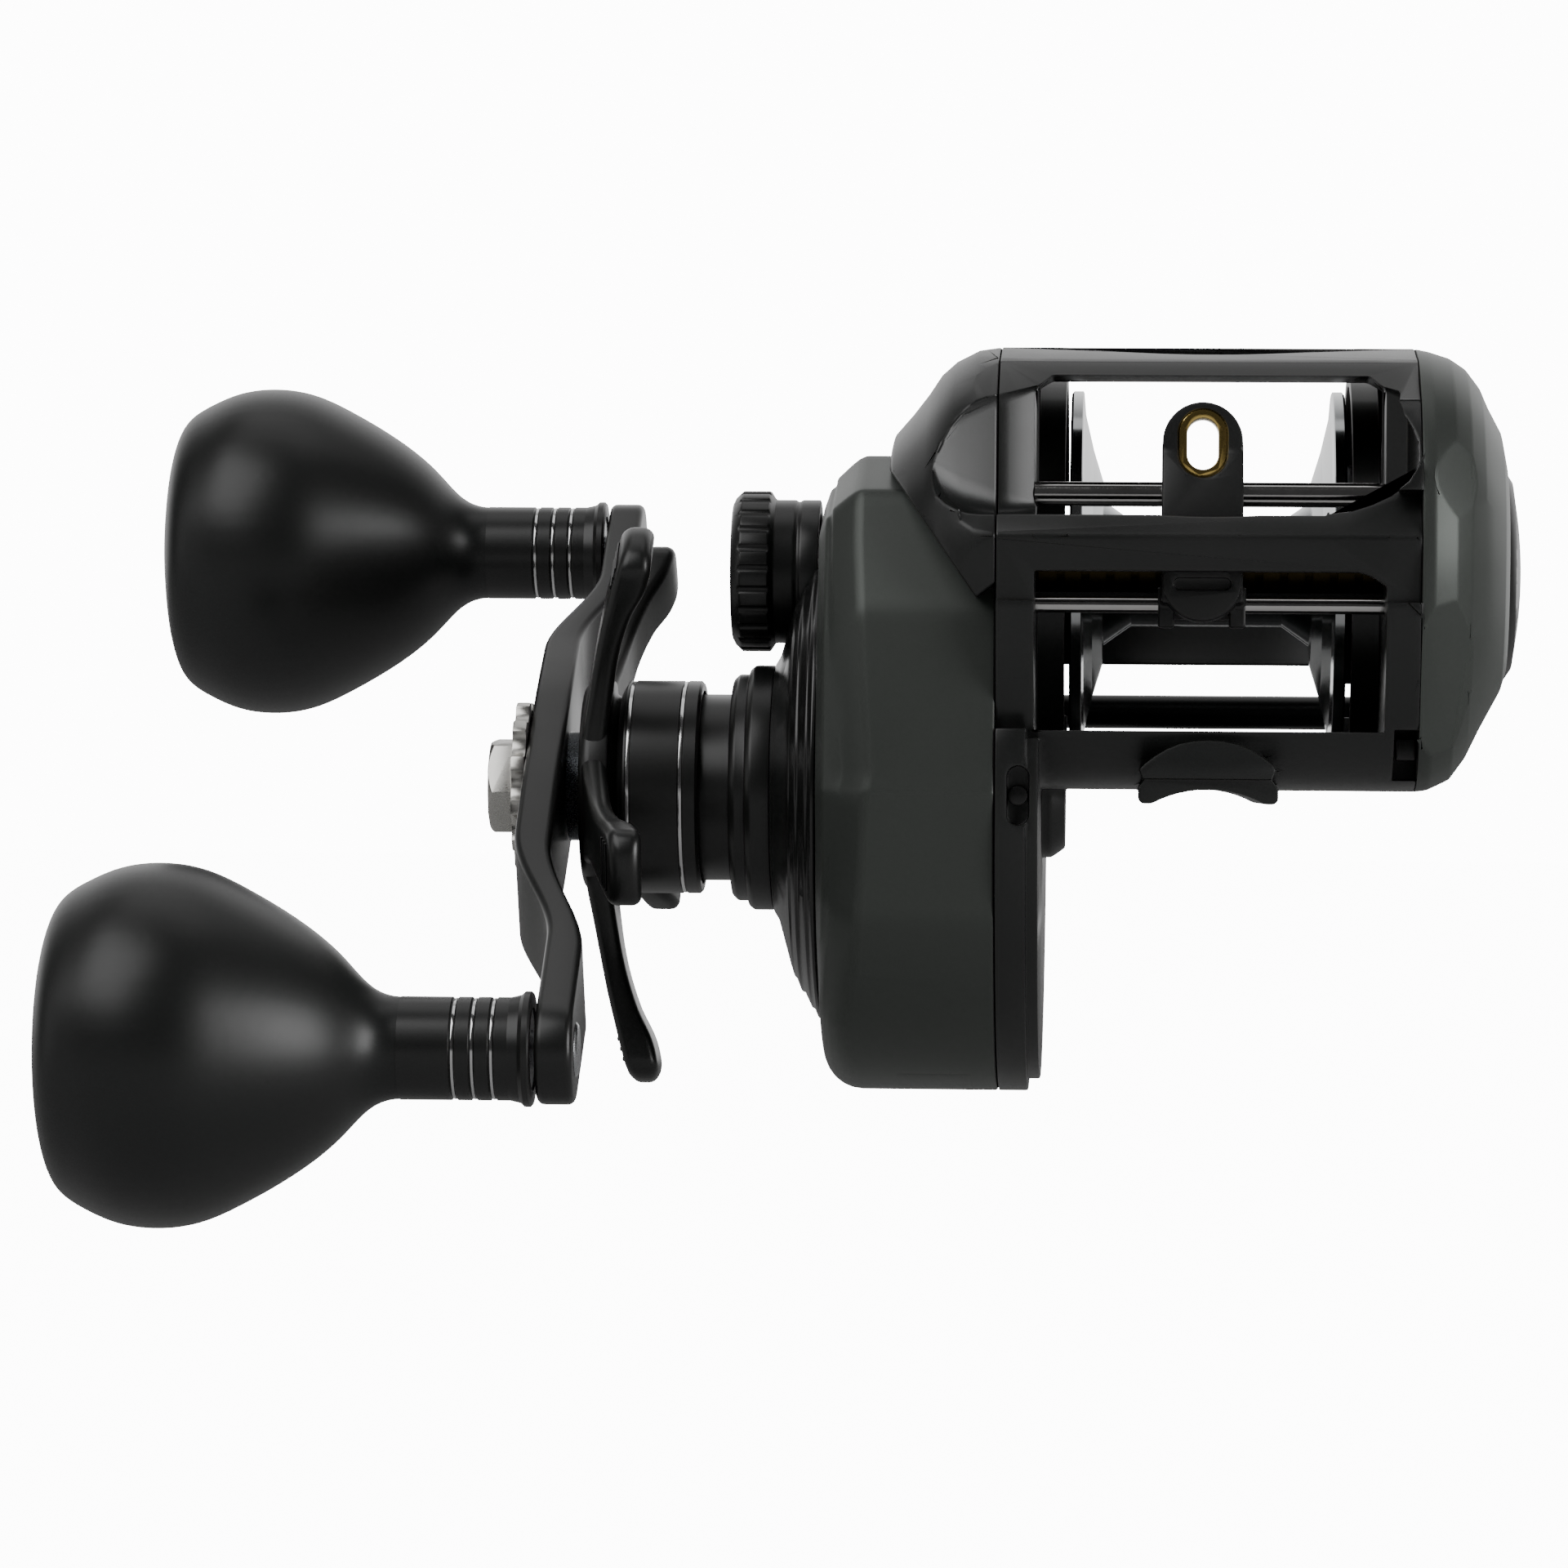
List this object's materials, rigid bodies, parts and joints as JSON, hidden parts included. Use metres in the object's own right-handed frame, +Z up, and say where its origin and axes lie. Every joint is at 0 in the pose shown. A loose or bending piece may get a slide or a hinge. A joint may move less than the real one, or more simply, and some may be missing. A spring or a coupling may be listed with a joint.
{
  "type": "baitcasting reel",
  "caption": "Low-profile right-hand baitcasting fishing reel with a double-knob power handle, star drag, level-wind line guide, thumb bar clutch and reel foot.",
  "frame": {"origin": "underside of the reel foot, midway across its width, straight under the spool axis", "axes": "+X from the handle to the palm side, along the spool axis; -Y towards the line guide (front); +Z up, away from the rod"},
  "size_m": [0.1545, 0.1233, 0.0938],
  "materials": {
    "frame_black": "satin black coating over cast aluminium",
    "cover_grey": "dark green-grey metallic satin",
    "trim_black": "satin black anodised",
    "knob_black": "soft-touch black",
    "polished_steel": "polished",
    "steel": "machined",
    "rod_chrome": "polished",
    "brass": "machined",
    "gold_ring": "polished",
    "spool_metal": "polished",
    "spring_steel": "drawn wire",
    "white_nylon": "moulded",
    "black_plastic": "moulded",
    "carbon_fibre": "woven"
  },
  "bodies": {
    "frame": {"frame": "frame_black", "gear_side_cover": "cover_grey", "port_cover": "cover_grey", "drive_housing": "trim_black", "drive_collar": "trim_black", "one_way_bearing": "steel", "drive_shaft_bearing": "steel", "clutch_posts": "steel", "yoke_springs": "spring_steel", "worm_bushings": "white_nylon", "worm_guard": "black_plastic", "upper_guide_rod": "rod_chrome", "lower_guide_rod": "rod_chrome", "palm_side_cover": "cover_grey", "palm_inner_plate": "black_plastic", "spool_bearings": "steel", "cover_screws": "steel"},
    "handle": {"handle_arm": "trim_black", "drive_shaft": "steel", "levelwind_drive_gear": "white_nylon", "drive_gear": "brass", "drag_washers": "carbon_fibre", "drag_disc": "steel", "drag_pressure_plate": "steel", "anti_reverse_sleeve": "steel", "drag_spring_washers": "spring_steel", "handle_nut": "polished_steel", "nut_retainer": "polished_steel", "handle_spacer": "trim_black", "knob_posts": "steel"},
    "star_drag": {"star_wheel": "trim_black", "star_sleeve": "trim_black", "star_nut": "steel"},
    "knob_a": {"knob_grip_a": "knob_black", "knob_collar_a": "trim_black", "knob_bearings_a": "steel", "knob_cap_a": "trim_black"},
    "knob_b": {"knob_grip_b": "knob_black", "knob_collar_b": "trim_black", "knob_bearings_b": "steel", "knob_cap_b": "trim_black"},
    "cast_control": {"cast_control_cap": "trim_black", "cast_control_shim": "brass"},
    "spool": {"spool": "spool_metal", "spool_shaft": "steel", "brake_cup": "spool_metal"},
    "thumb_bar": {"thumb_bar": "frame_black", "clutch_plate": "black_plastic"},
    "clutch_yoke": {"clutch_yoke": "white_nylon"},
    "pinion": {"pinion_gear": "brass"},
    "idler": {"idler_gear": "white_nylon"},
    "worm": {"worm_shaft": "brass", "worm_gear": "white_nylon"},
    "line_guide": {"line_guide": "black_plastic", "guide_insert": "gold_ring", "pawl": "steel", "pawl_cap": "black_plastic"},
    "brake_dial": {"brake_dial": "trim_black"},
    "brake_magnets": {"magnet_holder": "black_plastic"},
    "release_latch": {"release_latch": "trim_black"}
  },
  "joints": [
    {"name": "handle_turn", "type": "hinge", "parent": "frame", "child": "handle", "pos_m": [-0.071, -0.00465, 0.00135], "axis": [1, 0, 0], "continuous": true},
    {"name": "knob_a_spin", "type": "hinge", "parent": "handle", "child": "knob_a", "pos_m": [-0.09, -0.04738, -0.02576], "axis": [1, 0, 0], "continuous": true},
    {"name": "knob_b_spin", "type": "hinge", "parent": "handle", "child": "knob_b", "pos_m": [-0.09, 0.03807, 0.02846], "axis": [1, 0, 0], "continuous": true},
    {"name": "star_drag_turn", "type": "hinge", "parent": "handle", "child": "star_drag", "pos_m": [-0.066, -0.00465, 0.00135], "axis": [1, 0, 0], "range_deg": [-180, 180]},
    {"name": "cast_control_turn", "type": "hinge", "parent": "frame", "child": "cast_control", "pos_m": [-0.048, 0, 0.0252], "axis": [1, 0, 0], "range_deg": [-180, 180]},
    {"name": "spool_spin", "type": "hinge", "parent": "frame", "child": "spool", "pos_m": [0, 0, 0.0252], "axis": [1, 0, 0], "continuous": true},
    {"name": "thumb_press", "type": "slide", "parent": "frame", "child": "thumb_bar", "axis": [0, 0, -1], "range_m": [0, 0.003]},
    {"name": "yoke_slide", "type": "slide", "parent": "frame", "child": "clutch_yoke", "axis": [-1, 0, 0], "range_m": [0, 0.002], "deforming": ["yoke_springs"]},
    {"name": "pinion_spin", "type": "hinge", "parent": "clutch_yoke", "child": "pinion", "pos_m": [-0.028, 0, 0.0252], "axis": [1, 0, 0], "continuous": true},
    {"name": "idler_spin", "type": "hinge", "parent": "frame", "child": "idler", "pos_m": [-0.024, -0.01922, 0.01506], "axis": [1, 0, 0], "continuous": true},
    {"name": "worm_spin", "type": "hinge", "parent": "frame", "child": "worm", "pos_m": [0, -0.03, 0.0252], "axis": [1, 0, 0], "continuous": true},
    {"name": "line_guide_slide", "type": "slide", "parent": "frame", "child": "line_guide", "axis": [1, 0, 0], "range_m": [-0.0112, 0.0128]},
    {"name": "brake_dial_turn", "type": "hinge", "parent": "frame", "child": "brake_dial", "pos_m": [0.032, 0, 0.0252], "axis": [1, 0, 0], "range_deg": [0, 270]},
    {"name": "brake_magnet_slide", "type": "slide", "parent": "frame", "child": "brake_magnets", "axis": [-1, 0, 0], "range_m": [0, 0.0015]},
    {"name": "latch_slide", "type": "slide", "parent": "frame", "child": "release_latch", "axis": [0, 0, -1], "range_m": [0, 0.0018], "stiffness_N_per_m": 60}
  ],
  "couplings": [
    {"joint": "spool_spin", "follows": "handle_turn", "ratio": -7.1},
    {"joint": "pinion_spin", "follows": "handle_turn", "ratio": -7.1},
    {"joint": "idler_spin", "follows": "handle_turn", "ratio": -1.2727},
    {"joint": "worm_spin", "follows": "handle_turn", "ratio": 1.8667},
    {"joint": "yoke_slide", "follows": "thumb_press", "ratio": 0.66667},
    {"joint": "brake_magnet_slide", "follows": "brake_dial_turn", "m_per_rad": 0.00031831}
  ]
}
